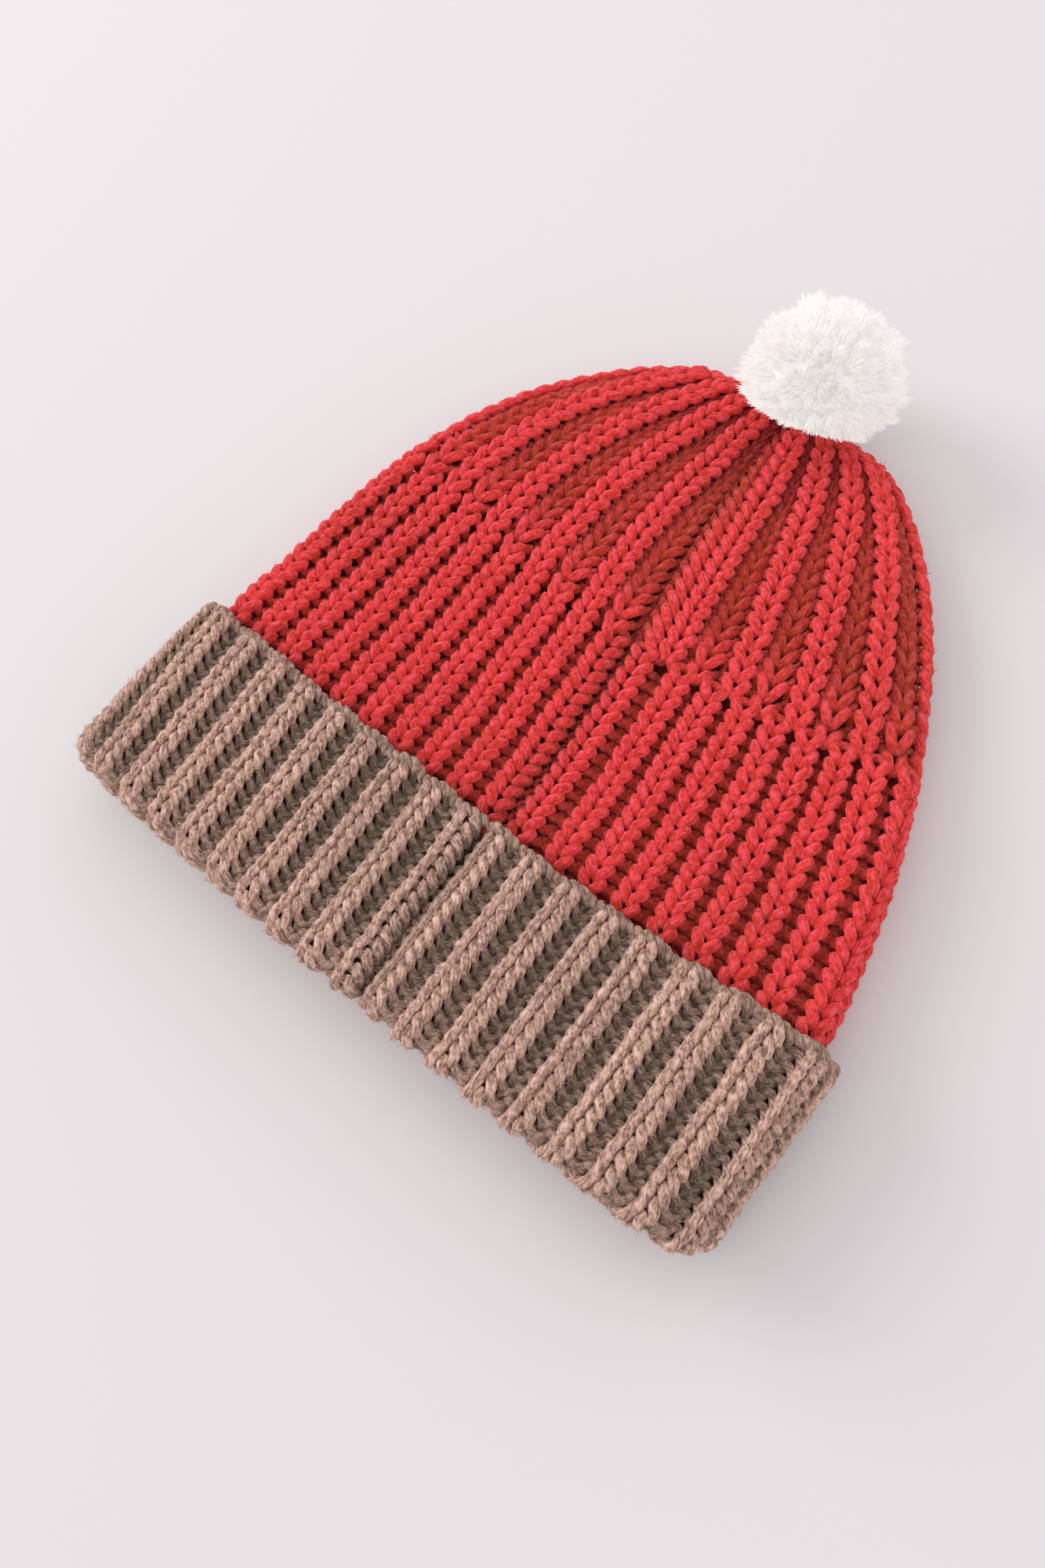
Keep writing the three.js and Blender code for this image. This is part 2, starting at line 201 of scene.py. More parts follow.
class Fabric:
    """The middle surface of a knitted cloth by row and fraction, and the edges of its columns."""

    FRACTIONS = np.linspace(-0.05, 1.05, 793)
    PER_ROW = 6

    def __init__(self, surface, row_marks, side):
        """surface is a grid of points [path, fraction], row_marks says at which paths which row
        numbers lie, as {row: path position for each fraction}, and side is 1 where the outside is to
        the left of the path and -1 where it is to its right."""
        steps = np.linalg.norm(np.diff(surface, axis=0), axis=2)
        lengths = np.vstack([np.zeros(surface.shape[1]), np.cumsum(steps, axis=0)])
        rows = sorted(row_marks)
        self.first = rows[0]
        self.rows = np.linspace(rows[0], rows[-1], int((rows[-1] - rows[0]) * self.PER_ROW) + 1)
        index = np.arange(surface.shape[0])
        self.points = np.empty((len(self.rows), surface.shape[1], 3))
        for f in range(surface.shape[1]):
            at = [np.interp(row_marks[r][f], index, lengths[:, f]) for r in rows]
            wanted = np.interp(self.rows, rows, at)
            for axis in range(3):
                self.points[:, f, axis] = np.interp(wanted, lengths[:, f], surface[:, f, axis])
        across = np.gradient(self.points, axis=1)
        up = np.gradient(self.points, axis=0)
        self.normals = unit(np.cross(across, up) * side)
        inside = (self.FRACTIONS >= 0) & (self.FRACTIONS <= 1)
        loop = self.points[:, inside]
        self.around = np.linalg.norm(np.diff(loop, axis=1), axis=2).sum(axis=1)

    def columns(self, kinds, widths, leans, tilts=None, pulls=None):
        """Sets the columns: kinds is 1 for knit and -1 for purl, and widths a function of the distance
        round the hat that gives each column's width. leans is how far the left and the right leg of
        each stitch spread, in columns. tilts is how many rows the left and the right edge of each
        column's stitches are moved along the rib. pulls is how far the middle of each column's
        stitches is moved across it, in columns, for purls that lie in pairs."""
        self.kinds = np.asarray(kinds)
        self.leans = np.asarray(leans, float)
        self.tilts = np.zeros((len(kinds), 2)) if tilts is None else np.asarray(tilts, float)
        self.pulls = np.zeros(len(kinds)) if pulls is None else np.asarray(pulls, float)
        gaps = SEAM_GAP * np.minimum(1, self.around / FULL_ROUND) ** 3
        rows = np.stack([widths(a) for a in self.around - 2 * gaps])
        edges = np.hstack([np.zeros((len(rows), 1)), np.cumsum(rows, axis=1)])
        self.edges = (edges + gaps[:, None]) / self.around[:, None]
        self.widths = rows

    def _row(self, row):
        place = np.clip((row - self.first) * self.PER_ROW, 0, len(self.rows) - 1.001)
        low = place.astype(int)
        return low, place - low

    def fraction(self, column, row):
        """Fraction of the way round of a place given in columns."""
        low, part = self._row(row)
        k = np.clip(np.floor(column).astype(int), 0, len(self.kinds) - 1)
        left = lerp(self.edges[low, k], self.edges[low + 1, k], part)
        right = lerp(self.edges[low, k + 1], self.edges[low + 1, k + 1], part)
        return left + (right - left) * (column - k)

    def width(self, column, row):
        """Width of the column that a place lies in."""
        low, _ = self._row(row)
        k = np.clip(np.floor(column).astype(int), 0, len(self.kinds) - 1)
        return self.widths[low, k]

    def place(self, fraction, row):
        """The point of the middle surface and the way out of it."""
        low, part = self._row(row)
        step = self.FRACTIONS[1] - self.FRACTIONS[0]
        across = np.clip((fraction - self.FRACTIONS[0]) / step, 0, len(self.FRACTIONS) - 1.001)
        left = across.astype(int)
        side = (across - left)[..., None]
        part = part[..., None]

        def sample(grid):
            below = lerp(grid[low, left], grid[low, left + 1], side)
            above = lerp(grid[low + 1, left], grid[low + 1, left + 1], side)
            return lerp(below, above, part)

        return sample(self.points), unit(sample(self.normals))


def wander(rng, shape, size):
    """Smooth random numbers on a grid of stitches, about -1 to 1, that change over size stitches."""
    coarse = rng.normal(size=(int(shape[0] / size) + 3, int(shape[1] / size) + 3))

    def read(row, column):
        r = np.clip(row / size, 0, coarse.shape[0] - 1.001)
        c = np.clip(column / size, 0, coarse.shape[1] - 1.001)
        r0 = r.astype(int)
        c0 = c.astype(int)
        tr = smooth(r - r0, 0, 1)
        tc = smooth(c - c0, 0, 1)
        low = lerp(coarse[r0, c0], coarse[r0, c0 + 1], tc)
        high = lerp(coarse[r0 + 1, c0], coarse[r0 + 1, c0 + 1], tc)
        return lerp(low, high, tr) * 0.6

    return read


# ---------------------------------------------------------------- meshes


SIDES = 8


def quad_mesh(name, verts, faces):
    """A smooth object from points in metres and the four corners of each face."""
    mesh = bpy.data.meshes.new(name)
    mesh.vertices.add(len(verts))
    mesh.vertices.foreach_set("co", verts.astype(np.float32).ravel())
    mesh.loops.add(faces.size)
    mesh.loops.foreach_set("vertex_index", faces.astype(np.int32).ravel())
    mesh.polygons.add(len(faces))
    mesh.polygons.foreach_set("loop_start", np.arange(0, faces.size, 4, dtype=np.int32))
    mesh.polygons.foreach_set("use_smooth", np.ones(len(faces), bool))
    mesh.update(calc_edges=True)
    obj = bpy.data.objects.new(name, mesh)
    bpy.context.scene.collection.objects.link(obj)
    return obj


def store_height(obj, values):
    """Keeps how high in the fabric each point lies, which the materials read to paint shade where a
    yarn lies low.
    """
    attribute = obj.data.attributes.new("height", "FLOAT", "POINT")
    attribute.data.foreach_set("value", values.astype(np.float32).ravel())


def tube_mesh(name, paths, outs, radii, height, closed=False):
    """One mesh of round yarns: paths is [yarn, point, 3] in metres, outs the way that side 0 faces."""
    yarns, count, _ = paths.shape
    if closed:
        ahead = unit(np.roll(paths, -1, axis=1) - np.roll(paths, 1, axis=1))
    else:
        ahead = unit(np.gradient(paths, axis=1))
    across = unit(np.cross(ahead, outs))
    out = np.cross(across, ahead)
    angle = np.arange(SIDES) * 2 * math.pi / SIDES
    ring = out[:, :, None] * np.cos(angle)[:, None] + across[:, :, None] * np.sin(angle)[:, None]
    verts = paths[:, :, None] + ring * radii[..., None, None]
    verts[..., 2] = np.maximum(verts[..., 2], 0)
    spans = count if closed else count - 1
    i = np.arange(yarns)[:, None, None] * count * SIDES
    j = np.arange(spans)[None, :, None]
    k = np.arange(SIDES)[None, None, :]
    j1 = (j + 1) % count
    k1 = (k + 1) % SIDES
    corners = [i + j * SIDES + k, i + j * SIDES + k1, i + j1 * SIDES + k1, i + j1 * SIDES + k]
    faces = np.stack(np.broadcast_arrays(*corners), -1).reshape(-1, 4)
    obj = quad_mesh(name, verts.reshape(-1, 3), faces)
    length = np.linalg.norm(np.diff(paths, axis=1, append=paths[:, -1:]), axis=2)
    length = np.cumsum(length, axis=1) - length
    here = length[:, :spans, None]
    there = np.concatenate([length, length[:, -1:] + MM], axis=1)[:, 1 : spans + 1, None]
    v0 = k / SIDES
    v1 = v0 + 1 / SIDES
    uv = np.stack(np.broadcast_arrays(here, v0, here, v1, there, v1, there, v0), -1)
    layer = obj.data.uv_layers.new(name="yarn")
    layer.data.foreach_set("uv", uv.astype(np.float32).ravel())
    store_height(obj, np.broadcast_to(height[..., None], (yarns, count, SIDES)))
    return obj


def ribbons(name, edges):
    """Flat fibres: edges is [fibre, 3 places along it, 2 edges, 3] in metres."""
    edges[..., 2] = np.maximum(edges[..., 2], 0)
    corners = np.array([[0, 1, 3, 2], [2, 3, 5, 4]])
    faces = (np.arange(len(edges))[:, None, None] * 6 + corners).reshape(-1, 4)
    return quad_mesh(name, edges.reshape(-1, 3), faces)


def in_frame(points):
    """Millimetres by station to metres in the part's frame."""
    moved = points.copy()
    moved[..., 1] -= STATION_AT_ORIGIN
    return moved * MM


# ---------------------------------------------------------------- knitting

STITCH_STEPS = 14
LOOP_HALF_HEIGHT = 0.72  # in rows
JOIN = 0.16  # share of a column over which its yarn is led to where the next column's begins
FULL_WIDTH = 3.0  # the yarn is drawn thinner in columns narrower than this
THINNEST = 0.35
# How unevenly the yarn lies: by how much, and over how many stitches that changes.
UNEVEN_ACROSS = (0.05, 1.1)
UNEVEN_ALONG = (0.07, 1.3)
UNEVEN_DEPTH = (0.16, 1.2)
UNEVEN_SWELL = (0.45, 6)

FUZZ_PER_PIECE = 48000
FUZZ_LENGTH = 1.7
FUZZ_WIDTH = 0.21
FUZZ_TAPER = np.array([1, 0.8, 0.25])
FUZZ_SPREAD = 0.75  # how far round the yarn the fibres' roots lie, in radians
FUZZ_RISE = 0.22
FUZZ_STRAY = 0.18
FUZZ_CURL = 0.25

# yarn is the yarn's radius, front how far knit stands over the fabric's middle surface, back how far
# purl lies under it, and reach how far a loop passes from front to back.
Gauge = namedtuple("Gauge", "yarn front back reach")
CROWN_GAUGE = Gauge(yarn=1.48, front=0.9, back=2.4, reach=0.85)
CROWN_TOP_GAUGE = Gauge(yarn=1.48, front=0.9, back=1.5, reach=0.85)
BRIM_GAUGE = Gauge(yarn=1.34, front=0.8, back=1.9, reach=0.8)


def knit(name, fabric, rows, gauge, seed, raised):
    """The yarns of some rows of a fabric, one tube for each row, drawn through the row below, and
    their loose fibres. raised gives how far a place on the fabric stands out or lies in."""
    cols = len(fabric.kinds)
    steps = cols * STITCH_STEPS
    tau = np.arange(steps + 1) / STITCH_STEPS
    k = np.minimum(tau.astype(int), cols - 1)
    inside = tau - k
    phase = 2 * math.pi * inside
    left_end = 1 - smooth(inside, 0, JOIN)
    right_end = 1 - smooth(1 - inside, 0, JOIN)

    def joined(left, right):
        """Values at the left and right edges of the columns, made to meet where two columns do."""
        here = lerp(left[k], right[k], inside)
        before = np.concatenate([left[:1], right[:-1]])
        after = np.concatenate([left[1:], right[-1:]])
        here = here + left_end * (before - left)[k] / 2
        return here + right_end * (after - right)[k] / 2

    knit_share = (fabric.kinds + 1) / 2
    knitted = joined(knit_share, knit_share)
    tilt = joined(fabric.tilts[:, 0], fabric.tilts[:, 1])
    pull = fabric.pulls[k] * np.sin(math.pi * inside) ** 2
    lean = np.where(inside < 0.5, fabric.leans[k, 0], fabric.leans[k, 1])
    column = np.broadcast_to(tau + lean * np.sin(2 * phase) + pull, (len(rows), steps + 1))
    row = np.asarray(rows, float)[:, None]
    along = row + 0.5 - LOOP_HALF_HEIGHT * np.cos(phase) + tilt
    reach = gauge.reach
    dip = reach * np.cos(2 * phase)
    inner = fabric.pulls[k] * (inside - 0.5) < 0
    hidden = fabric.pulls[k] * (inside - 0.5) > 0
    purl_dip = np.where(inner, -dip, np.where(hidden, -reach - 0.4 * (reach - dip), dip))
    z = lerp(purl_dip - gauge.back, gauge.front - dip, knitted)
    z = np.broadcast_to(z, column.shape) + raised(column, along)
    rng = np.random.default_rng(seed)
    shape = (fabric.rows[-1] + 2, cols + 2)

    def uneven(amount, size):
        return amount * wander(rng, shape, size)(along, column)

    column = column + uneven(*UNEVEN_ACROSS)
    along = along + uneven(*UNEVEN_ALONG)
    z = z + uneven(*UNEVEN_DEPTH)
    z = z + uneven(*UNEVEN_SWELL)
    points, normals = fabric.place(fabric.fraction(column, along), along)
    tight = np.clip(fabric.width(column, along) / FULL_WIDTH, THINNEST, 1)
    radius = gauge.yarn * (1 - 0.08 * np.cos(2 * phase)) * tight
    ends = np.minimum(np.arange(steps + 1), np.arange(steps + 1)[::-1])
    radius = radius * smooth(ends, -2, 3) * MM
    path = in_frame(points + normals * (z * tight)[..., None])
    # The materials paint shade by this height: the lower a yarn lies in the fabric, the darker it is
    # coloured.
    height = z / (gauge.front + reach)
    loops = tube_mesh(name, path, normals, radius, height)
    loose = fuzz(f"{name}_fuzz", path, normals, radius, height, rng)
    return loops, loose


def fuzz(name, paths, outs, radii, height, rng):
    """Loose fibres that stand off the outside of yarns, as fine ribbons that taper to a point."""
    yarns, steps, _ = paths.shape
    count = FUZZ_PER_PIECE
    y = rng.integers(0, yarns, count)
    j = rng.integers(1, steps - 1, count)
    ahead = unit(paths[y, j + 1] - paths[y, j - 1])
    out = outs[y, j]
    across = unit(np.cross(ahead, out))
    round_yarn = rng.normal(scale=FUZZ_SPREAD, size=(count, 1))
    away = np.cos(round_yarn) * out + np.sin(round_yarn) * across
    root = paths[y, j] + away * radii[y, j][:, None] * 0.9
    way = rng.choice([-1.0, 1.0], (count, 1)) * ahead
    way = way + away * rng.uniform(0.0, FUZZ_RISE, (count, 1))
    way = unit(way + rng.normal(scale=FUZZ_STRAY, size=(count, 3)))
    curl = rng.normal(scale=FUZZ_CURL, size=(count, 3))
    long = FUZZ_LENGTH * MM * rng.uniform(0.5, 1.2, (count, 1))
    flat = unit(np.cross(way, away + 0.3))[:, None]
    t = np.array([0, 0.5, 1.0])[:, None]
    middle = root[:, None] + (way[:, None] * t + curl[:, None] * t**2) * long[:, None]
    half = FUZZ_WIDTH * MM / 2 * FUZZ_TAPER[:, None]
    loose = ribbons(name, np.stack([middle - flat * half, middle + flat * half], 2))
    store_height(loose, np.repeat(height[y, j], 6))
    return loose


RIBS = 39
CONTINUING = 19
LOWER_ROWS = 18
UPPER_ROWS = 20
BRIM_ROWS = 29

LOWER_KINDS = [1 if i % 2 == 0 else -1 for i in range(2 * RIBS - 1)]
UPPER_KINDS = [-1] + [1, -1, -1] * CONTINUING


RIB_WIDTH = 7.7
FIRST_RIB_WIDTH = 8.8  # the ribs on both sides of the seam are pulled flat by it
LAST_RIB_WIDTH = 9.2
FIRST_GAP_WIDTH = 4.0
RIB_SHARE = 0.68  # share of the way round that the ribs take near the tip
BAND_WIDTH = 7.4  # purl band to the right of the upper seam, where the crown is BAND_ROUND round
BAND_ROUND = 382
VALLEY_SPLIT = 0.44
BRIM_RIB_WIDTH = 6.7
BRIM_LAST_RIB_WIDTH = 8.6


def fill_gaps(widths, around):
    """Shares what the ribs leave of the way round among the gaps, whose widths are still 0."""
    gaps = widths == 0
    widths[gaps] = (around - widths.sum()) / gaps.sum()
    return widths


def lower_widths(around):
    """Widths of the ribs and the gaps between them below the decrease row."""
    widths = np.where(np.array(LOWER_KINDS) == 1, RIB_WIDTH, 0.0)
    widths[0] = FIRST_RIB_WIDTH
    widths[-1] = LAST_RIB_WIDTH
    widths[1] = FIRST_GAP_WIDTH
    return fill_gaps(widths, around)


def upper_widths(around):
    """Widths above the decrease row: the band at the seam, then ribs with two purl columns between."""
    rib = min(RIB_WIDTH, RIB_SHARE * around / CONTINUING)
    widths = np.where(np.array(UPPER_KINDS) == 1, rib, 0.0)
    widths[0] = BAND_WIDTH * around / BAND_ROUND
    valley = (around - widths.sum()) / CONTINUING
    widths[2::3] = VALLEY_SPLIT * valley
    widths[3::3] = (1 - VALLEY_SPLIT) * valley
    return widths


def brim_widths(around):
    """Widths of the ribs and the gaps between them in the brim."""
    widths = np.where(np.array(LOWER_KINDS) == 1, BRIM_RIB_WIDTH, 0.0)
    widths[-1] = BRIM_LAST_RIB_WIDTH
    return fill_gaps(widths, around)


# The stitches' own shapes, as Fabric.columns takes them.
BRIM_TILTS = ([(0.25, -0.25), (0.62, -0.62)] * RIBS)[: len(LOWER_KINDS)]
BRIM_LEANS = ([(0.1, 0.26), (0.18, 0.18)] * RIBS)[: len(LOWER_KINDS)]
LOWER_LEANS = [(0.235, 0.235)] * len(LOWER_KINDS)
UPPER_PULLS = [-0.35] + [0, -0.35, 0.35] * CONTINUING
UPPER_LEANS = [(0, 0)] + [(0.235, 0.235), (0, 0), (0, 0)] * CONTINUING

SEAM_TUCK = 3.0
UPPER_SEAM_TUCK = 1.5
TUCKED_SHARE = 0.4  # share of the columns beside the seam that sinks into its groove
EYELET_DEPTH = 4.5  # of the small holes beside the ended ribs
EYELET_ROWS_BELOW = (16.7, 17.3)
EYELET_ROWS_ABOVE = (19.0, 19.6)
EYELET_SIDE = (-0.12, 0.1)  # places across a purl column between which its outer side begins
UNDER_CUFF_DEPTH = 1.6
UNDER_CUFF_ROWS = (1.6, 3.2)
PROUD_HEIGHT = 2.4
PROUD_ROWS = (18.2, 22.5)
BAND_HEIGHT = 1.9
BAND_ROWS = (25, 34)
FOLD_ROW = 14.3
FOLD_SPREAD = 2.2
FOLD_STRETCH = 1.0


def kinds_at(kinds, column):
    """Which column each place lies in, and of which kind that is."""
    index = np.clip(column.astype(int), 0, len(kinds) - 1)
    return index, np.array(kinds)[index]


def tuck_at_seam(column, columns, amount):
    """Lets both ends of the yarns sink into the seam's groove."""
    away = np.minimum(column, columns - column)
    return -amount * (1 - smooth(away, 0, TUCKED_SHARE))


def lower_relief(column, along):
    """The lower crown sinks in under the cuff, and beside the ended ribs at its last row."""
    _, kinds = kinds_at(LOWER_KINDS, column)
    eyelet = np.where(kinds < 0, -EYELET_DEPTH * smooth(along, *EYELET_ROWS_BELOW), 0)
    under_cuff = -UNDER_CUFF_DEPTH * (1 - smooth(along, *UNDER_CUFF_ROWS))
    return tuck_at_seam(column, len(LOWER_KINDS), SEAM_TUCK) + eyelet + under_cuff


def upper_relief(column, along):
    """The first rows over the ended ribs stand proud, then sink, with an eyelet at both their sides."""
    index, kinds = kinds_at(UPPER_KINDS, column)
    outer = (column - index - 0.5) * np.sign(UPPER_PULLS)[index]
    eyelet = EYELET_DEPTH * smooth(outer, *EYELET_SIDE) * (1 - smooth(along, *EYELET_ROWS_ABOVE))
    proud = np.where(kinds < 0, PROUD_HEIGHT * (1 - smooth(along, *PROUD_ROWS)) - eyelet, 0)
    band = np.where(column < 1, BAND_HEIGHT * (1 - smooth(along, *BAND_ROWS)), 0)
    return tuck_at_seam(column, len(UPPER_KINDS), UPPER_SEAM_TUCK) + np.maximum(proud, band)


def brim_relief(column, along):
    """The gaps between the ribs open out where the fabric goes round the fold."""
    _, kinds = kinds_at(LOWER_KINDS, column)
    stretched = np.where(kinds < 0, FOLD_STRETCH * bell(along, FOLD_ROW, FOLD_SPREAD), 0)
    return tuck_at_seam(column, len(LOWER_KINDS), SEAM_TUCK) + stretched


TIP_REACH = 13  # length of the crown's end that is drawn over its rounded tip


def crown_fabric():
    """The crown from the colour change to the gathered hole, and where its rows lie."""
    fractions = Fabric.FRACTIONS[None, :]
    straight = np.linspace(COLOUR_CHANGE, HAT_LENGTH - TIP_REACH, 160)
    tip = HAT_LENGTH - TIP_REACH * np.cos(np.linspace(0.01, math.pi / 2 - 0.002, 160))
    stations = np.concatenate([straight, tip])
    surface = crown_point(fractions, stations[:, None], 0.5)
    index = np.arange(len(stations))
    marks = {
        0: np.zeros(len(Fabric.FRACTIONS)),
        LOWER_ROWS: np.interp(decrease_station(Fabric.FRACTIONS), stations, index),
        LOWER_ROWS + UPPER_ROWS: np.full(len(Fabric.FRACTIONS), index[-1]),
    }
    return surface, marks


def brim_fabric():
    """The brim from its cast-on edge down the cuff, round the fold and up to the colour change."""
    fractions = Fabric.FRACTIONS
    radius = LAYER / 2
    outer = FABRIC / 2
    top = cuff_edge_station(fractions)[None, :]
    t = np.linspace(0, 1, 80)[:, None]
    turn = np.linspace(0, math.pi, 24)[1:-1, None]
    up_inside = lerp(FOLD_RADIUS, COLOUR_CHANGE + OVERLAP, t)
    parts = [lerp(top, FOLD_RADIUS, t), FOLD_RADIUS - radius * np.sin(turn), up_inside]
    station = np.concatenate([np.broadcast_to(p, (len(p), len(fractions))) for p in parts])
    round_fold = outer + radius * (1 - np.cos(turn[:, 0]))
    insets = [np.full(len(t), outer), round_fold, np.full(len(t), outer + LAYER)]
    inset = np.concatenate(insets)[:, None]
    flats = 4 * (CUFF_HALF_WIDTH - CUFF_HALF_HEIGHT)
    around = flats + 2 * math.pi * (CUFF_HALF_HEIGHT - inset)
    turned = fractions[None, :] + cuff_twist(fractions[None, :], station) / around
    surface = cuff_point(turned, station, inset)
    surface[..., 1] -= fold_sag(fractions) * (1 - smooth(station, 10, CUFF_LENGTH))
    surface[..., 1] += corner_lift(fractions) * (1 - smooth(station, 2, 20))
    last = np.full(len(fractions), len(station) - 1)
    marks = {0: np.zeros(len(fractions)), BRIM_ROWS: last}
    return surface, marks


# ---------------------------------------------------------------- cords, ties and the pom


def twisted(name, path, outs, strands, spread, radius, lay, closed=False):
    """Strands twisted round a path [point, 3] in millimetres, one turn for each lay."""
    if closed:
        ahead = unit(np.roll(path, -1, 0) - np.roll(path, 1, 0))
    else:
        ahead = unit(np.gradient(path, axis=0))
    across = unit(np.cross(ahead, outs))
    out = np.cross(across, ahead)
    steps = np.linalg.norm(np.diff(path, axis=0, append=path[-1:]), axis=1)
    length = np.cumsum(steps) - steps
    turns = length / lay
    if closed:
        turns *= max(1, round(length[-1] / lay)) / (length[-1] / lay)
    angle = 2 * math.pi * (turns[None] + np.arange(strands)[:, None] / strands)
    offset = np.cos(angle)[..., None] * out + np.sin(angle)[..., None] * across
    paths = path + offset * spread
    radii = np.broadcast_to(np.asarray(radius, float), paths.shape[:2])
    height = np.zeros(paths.shape[:2])
    return tube_mesh(name, in_frame(paths), offset, radii * MM, height, closed)


def cast_on(name, fabric):
    """The cast-on edge: two strands wound together along the top row of the cuff."""
    columns = len(fabric.kinds)
    tau = np.linspace(0, columns, 1400)
    top_row = np.zeros_like(tau)
    path, outward = fabric.place(fabric.fraction(tau, top_row), top_row)
    rib = 0.5 + 0.5 * np.cos(math.pi * (tau - 0.5))
    rng = np.random.default_rng(17)
    uneven = np.interp(tau, np.arange(columns + 1), rng.normal(size=columns + 1))
    path[:, 1] += 0.35 + 0.35 * rib + 0.3 * uneven
    path += outward * (lerp(-0.9, 0.9, rib) + 0.15 * uneven)[:, None]
    lay = fabric.around[0] / columns
    return twisted(name, path, outward, 2, 0.75, 1.12 + 0.1 * uneven, lay)


SEAM_STITCH = 4.2  # length of one stitch of the seam
SEAM_CROSSING = 0.7
SEAM_YARN = 0.9
SEAM_LAY = 5.0
SEAM_DEPTH = 0.95  # share of the fabric's thickness under its outside


def seam_stitches(name, point, stations, depth):
    """The yarn that joins the panel's edges: it crosses from side to side under the groove."""
    path = point(np.zeros(len(stations)), stations, depth)
    path[:, 0] += SEAM_CROSSING * np.sin(2 * math.pi * stations / SEAM_STITCH)
    up = np.tile([0.0, 0, 1], (len(path), 1))
    return twisted(name, path, up, 1, 0, SEAM_YARN, SEAM_LAY)


PIVOT = np.array([CROWN_LEAN, HAT_LENGTH + 3, TIP_HALF_HEIGHT])
POM_CENTRE = np.array([-7.8, 225.0, 23.2])
POM_CORE = np.array([-10.0, 233.5, 24.5])  # where the CAD model's loop of tie lies in its pom
POM_RADIUS = 24.6
POM_SWING = 30
POM_LIFT = 30
CROWN_CLEARANCE = 10.6  # height over the pivot of the knitted tip of the crown

TIE_LAY = 4.5
TIE_SPREAD = 1.0
TIE_YARN = 1.0
GATHER_RADIUS = 3.3
GATHER_STATION = HAT_LENGTH - 2.6
SHANK_STATIONS = (205.5, 218.4)
KNOT_STATION = 204
POM_LOOP_RADIUS = 6
NECK_REACH = 2.8  # the pom's strands begin this far from the pivot


def tie_strands(name, points, strands, spread, radius, closed=False):
    """A short length of tie yarn through points in millimetres by station."""
    up = np.tile([0.25, 0.15, 0.95], (len(points), 1))
    return twisted(name, points, up, strands, spread, radius, TIE_LAY, closed=closed)


def around_pivot(size, station):
    """A closed winding of yarn round a place on the tie."""
    t = np.linspace(0, 2 * math.pi, 72, endpoint=False)
    loop = 1 + 0.35 * np.cos(3 * t)
    across, along, high = size
    winding = [across * loop * np.cos(2 * t), along * np.sin(3 * t), high * loop * np.sin(2 * t)]
    return np.stack(winding, -1) + [PIVOT[0], station, PIVOT[2]]


def make_ties():
    """The yarns that hold the pom: gathered tip, knot, shank, neck and the loop round the pom."""
    t = np.linspace(0, 2 * math.pi, 72, endpoint=False)
    length = np.linspace(0, 1, 30)[:, None]

    ring = np.stack([GATHER_RADIUS * np.cos(t), 0 * t, GATHER_RADIUS * np.sin(t)], -1)
    ring += [PIVOT[0], GATHER_STATION, PIVOT[2]]
    gather = tie_strands("gather_strands", ring, 2, 0.42, 0.46, closed=True)
    dress(gather, RED, "red_yarn", "hat", "gather_yarn")

    low, high = (np.array([PIVOT[0], station, PIVOT[2]]) for station in SHANK_STATIONS)
    shank = tie_strands("tie_shank_strands", lerp(low, high, length), 2, TIE_SPREAD, TIE_YARN)
    dress(shank, CREAM_TIE, "cream_yarn", "hat", "tie_shank")

    winding = around_pivot((2.2, 1.5, 1.3), KNOT_STATION)
    knot = tie_strands("anchor_knot_strands", winding, 2, 0.42, 0.5, closed=True)
    dress(knot, CREAM_TIE, "cream_yarn", "hat", "anchor_knot")

    winding = around_pivot((1.1, 1.5, 1.1), PIVOT[1])
    neck = tie_strands("tie_neck_strands", winding, 1, 0, 0.85, closed=True)
    dress(neck, CREAM_TIE, "cream_yarn", "pom_neck", "tie_neck")

    reach = np.linalg.norm(POM_CORE - PIVOT)
    aim = (POM_CORE - PIVOT) / reach
    side = unit(np.cross(aim, [1.0, 0, 0]))
    turn = np.cos(t)[:, None] * aim + np.sin(t)[:, None] * np.cross(side, aim)
    core = tie_strands("pom_tie_loop", POM_CORE + POM_LOOP_RADIUS * turn, 2, 0.6, 0.62, closed=True)
    dress(core, CREAM_TIE, "cream_yarn", "pom", "pom_core_tie")

    path = PIVOT + aim * lerp(NECK_REACH, reach - POM_LOOP_RADIUS, length)
    strands = tie_strands("pom_tie_strands", path, 2, TIE_SPREAD, TIE_YARN)
    dress(strands, CREAM_TIE, "cream_yarn", "pom", "pom_core_tie")


TUFTS = 640
FIBRES = 66
TUFT_SCATTER = 0.045
FIBRE_START = 16.5  # distance from the pom's centre, inside its heart
FIBRE_HALF_WIDTHS = np.array([0.3, 0.22, 0.07])
FAN_RADIUS = 2.5  # how far a cut yarn's fibres fan out at its end
FAN_DROP = 0.3
HEART_RADIUS = 18.2
HEART_KNOBS = 0.5


